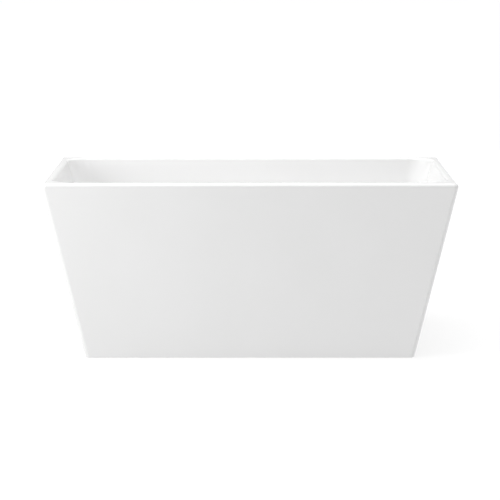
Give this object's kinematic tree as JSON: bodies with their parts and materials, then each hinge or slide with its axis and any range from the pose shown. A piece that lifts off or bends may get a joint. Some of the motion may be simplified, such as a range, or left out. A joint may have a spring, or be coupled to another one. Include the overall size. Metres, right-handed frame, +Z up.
{
  "type": "freestanding bathtub",
  "caption": "Freestanding white double-walled bathtub with leaning flat sides, a slim square-cornered rim, a slide-up stopper, an overflow and screw-adjusted feet under a steel frame.",
  "frame": {"origin": "on the floor, under the middle of the tub", "axes": "+X along the tub's length, -Y towards the long side that has the overflow, +Z up"},
  "size_m": [1.4, 0.7, 0.605],
  "materials": {
    "white_acrylic": "high gloss, very slightly wavy",
    "glass_fibre": "rough sprayed laminate with strands showing",
    "bonding_paste": "rough cast",
    "plywood": "bare, sanded, plies on the edge",
    "galvanised_steel": "spangled zinc coat",
    "black_plastic": "fine moulded grain",
    "zinc_plated_steel": "bright zinc plate",
    "softwood": "sawn pine",
    "chromed_brass": "polished chrome plate",
    "raw_brass": "turned",
    "spring_steel": "drawn wire",
    "black_rubber": "matt",
    "white_nylon": "matt",
    "grey_plastic": "moulded, satin",
    "pad_rubber": "matt, ribbed"
  },
  "bodies": {
    "tub": {"basin_shell": "white_acrylic", "basin_laminate": "glass_fibre", "outer_skirt": "white_acrylic", "skirt_laminate": "glass_fibre", "rim_bond": "bonding_paste", "base_board": "plywood", "rail_front": "galvanised_steel", "rail_back": "galvanised_steel", "cross_tube_left": "galvanised_steel", "cross_tube_mid_left": "galvanised_steel", "cross_tube_mid_right": "galvanised_steel", "cross_tube_right": "galvanised_steel", "tube_plugs": "black_plastic", "rail_screws": "zinc_plated_steel", "foot_weld_nuts": "zinc_plated_steel", "foot_lock_nuts": "zinc_plated_steel", "batten_front": "softwood", "batten_back": "softwood", "batten_left": "softwood", "batten_right": "softwood", "side_brackets": "galvanised_steel", "end_brackets": "galvanised_steel", "bracket_screws": "zinc_plated_steel", "drain_flange": "chromed_brass", "drain_gasket_top": "black_rubber", "drain_gasket_bottom": "black_rubber", "drain_washer": "white_nylon", "drain_locknut": "raw_brass", "stopper_cartridge": "raw_brass", "stopper_spring": "spring_steel", "drain_tee": "grey_plastic", "tail_nut": "raw_brass", "tail_washer": "white_nylon", "tailpiece": "chromed_brass", "overflow_cover": "chromed_brass", "overflow_bushing": "chromed_brass", "overflow_gasket": "black_rubber", "overflow_hopper": "grey_plastic", "overflow_pipe": "grey_plastic", "pipe_nut": "grey_plastic", "overflow_elbow": "grey_plastic", "branch_pipe": "grey_plastic"},
    "stopper": {"stopper_stem": "raw_brass", "stopper_cap": "chromed_brass", "stopper_seal": "black_rubber"},
    "pad_front_left": {"foot_pad_front_left": "pad_rubber"},
    "stud_front_left": {"foot_stud_front_left": "zinc_plated_steel"},
    "pad_front_right": {"foot_pad_front_right": "pad_rubber"},
    "stud_front_right": {"foot_stud_front_right": "zinc_plated_steel"},
    "pad_back_left": {"foot_pad_back_left": "pad_rubber"},
    "stud_back_left": {"foot_stud_back_left": "zinc_plated_steel"},
    "pad_back_right": {"foot_pad_back_right": "pad_rubber"},
    "stud_back_right": {"foot_stud_back_right": "zinc_plated_steel"}
  },
  "joints": [
    {"name": "stopper_lift", "type": "slide", "parent": "tub", "child": "stopper", "axis": [0, 0, 1], "range_m": [0, 0.01], "deforming": ["stopper_spring"]},
    {"name": "foot_front_left_height", "type": "slide", "parent": "tub", "child": "pad_front_left", "axis": [0, 0, -1], "range_m": [0, 0.021]},
    {"name": "foot_front_left_turn", "type": "hinge", "parent": "pad_front_left", "child": "stud_front_left", "pos_m": [-0.4, -0.232, 0.014], "axis": [0, 0, -1], "range_deg": [0, 4320]},
    {"name": "foot_front_right_height", "type": "slide", "parent": "tub", "child": "pad_front_right", "axis": [0, 0, -1], "range_m": [0, 0.021]},
    {"name": "foot_front_right_turn", "type": "hinge", "parent": "pad_front_right", "child": "stud_front_right", "pos_m": [0.4, -0.232, 0.014], "axis": [0, 0, -1], "range_deg": [0, 4320]},
    {"name": "foot_back_left_height", "type": "slide", "parent": "tub", "child": "pad_back_left", "axis": [0, 0, -1], "range_m": [0, 0.021]},
    {"name": "foot_back_left_turn", "type": "hinge", "parent": "pad_back_left", "child": "stud_back_left", "pos_m": [-0.4, 0.232, 0.014], "axis": [0, 0, -1], "range_deg": [0, 4320]},
    {"name": "foot_back_right_height", "type": "slide", "parent": "tub", "child": "pad_back_right", "axis": [0, 0, -1], "range_m": [0, 0.021]},
    {"name": "foot_back_right_turn", "type": "hinge", "parent": "pad_back_right", "child": "stud_back_right", "pos_m": [0.4, 0.232, 0.014], "axis": [0, 0, -1], "range_deg": [0, 4320]}
  ],
  "couplings": [
    {"joint": "foot_front_left_turn", "follows": "foot_front_left_height", "rad_per_m": 3590.4},
    {"joint": "foot_front_right_turn", "follows": "foot_front_right_height", "rad_per_m": 3590.4},
    {"joint": "foot_back_left_turn", "follows": "foot_back_left_height", "rad_per_m": 3590.4},
    {"joint": "foot_back_right_turn", "follows": "foot_back_right_height", "rad_per_m": 3590.4}
  ]
}
